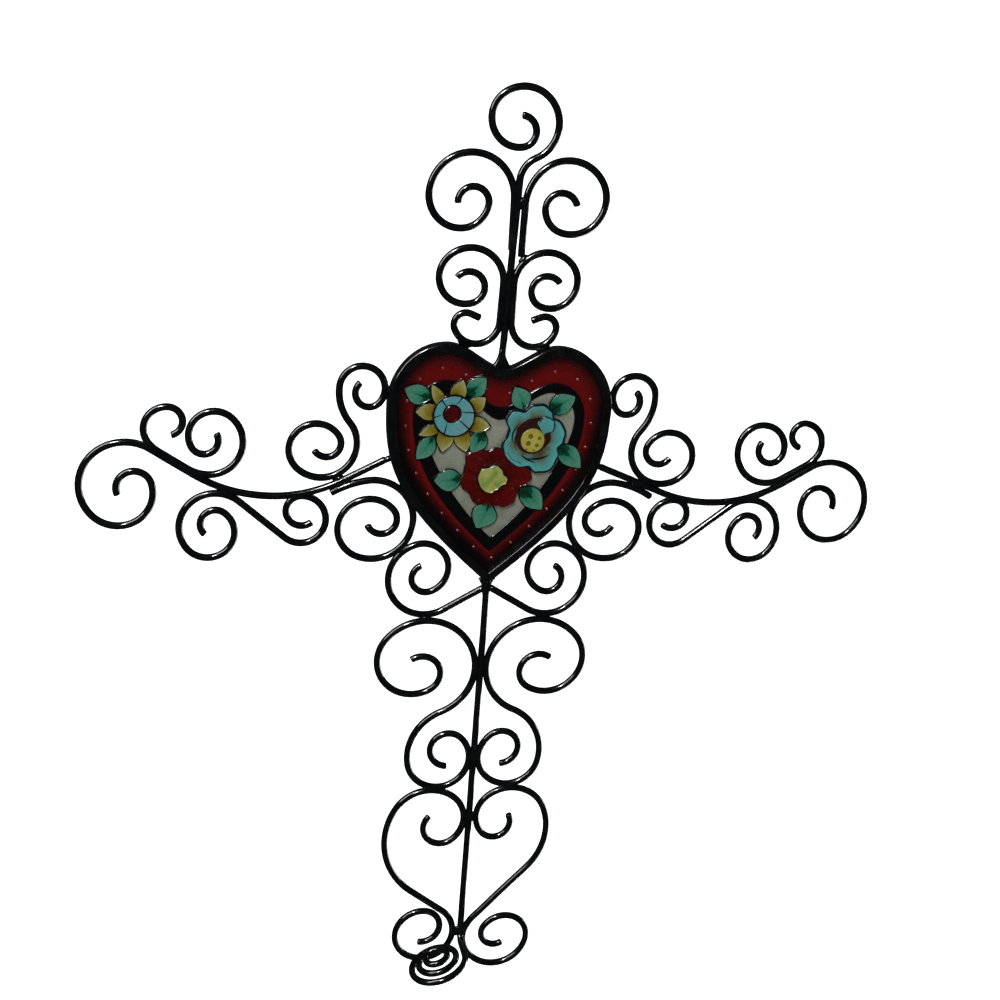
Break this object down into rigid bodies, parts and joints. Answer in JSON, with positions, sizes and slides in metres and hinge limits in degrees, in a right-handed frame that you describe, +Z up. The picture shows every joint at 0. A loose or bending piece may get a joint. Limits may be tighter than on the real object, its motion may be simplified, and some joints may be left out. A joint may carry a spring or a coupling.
{
  "type": "wall cross",
  "caption": "Wall cross of bent and welded black steel rod with scrolled arms, a hanging ring and an enamelled flower heart at the crossing.",
  "frame": {"origin": "the point on the inside of the top ring that rests on a wall hook", "axes": "+Z up the stem, +X to the right seen from the front, +Y to the wall; the viewer stands on -Y"},
  "size_m": [0.3601, 0.0314, 0.4205],
  "materials": {
    "black_lacquer": "gloss black lacquer",
    "enamel": "gloss enamel, dark red border with painted flowers"
  },
  "bodies": {
    "root": {"hanger_rod": "black_lacquer", "stem_rod": "black_lacquer", "top_scroll_left": "black_lacquer", "top_scroll_right": "black_lacquer", "second_scroll_left": "black_lacquer", "second_scroll_right": "black_lacquer", "arm_left": "black_lacquer", "arm_right": "black_lacquer", "inner_s_left": "black_lacquer", "inner_s_right": "black_lacquer", "outer_c_left": "black_lacquer", "outer_c_right": "black_lacquer", "under_s_left": "black_lacquer", "under_s_right": "black_lacquer", "under_scroll_left": "black_lacquer", "under_scroll_right": "black_lacquer", "tip_scroll_left": "black_lacquer", "tip_scroll_right": "black_lacquer", "big_s_left": "black_lacquer", "big_s_right": "black_lacquer", "foot_s_left": "black_lacquer", "foot_s_right": "black_lacquer", "heart_tray": "black_lacquer", "heart_plaque": "enamel"}
  },
  "joints": []
}
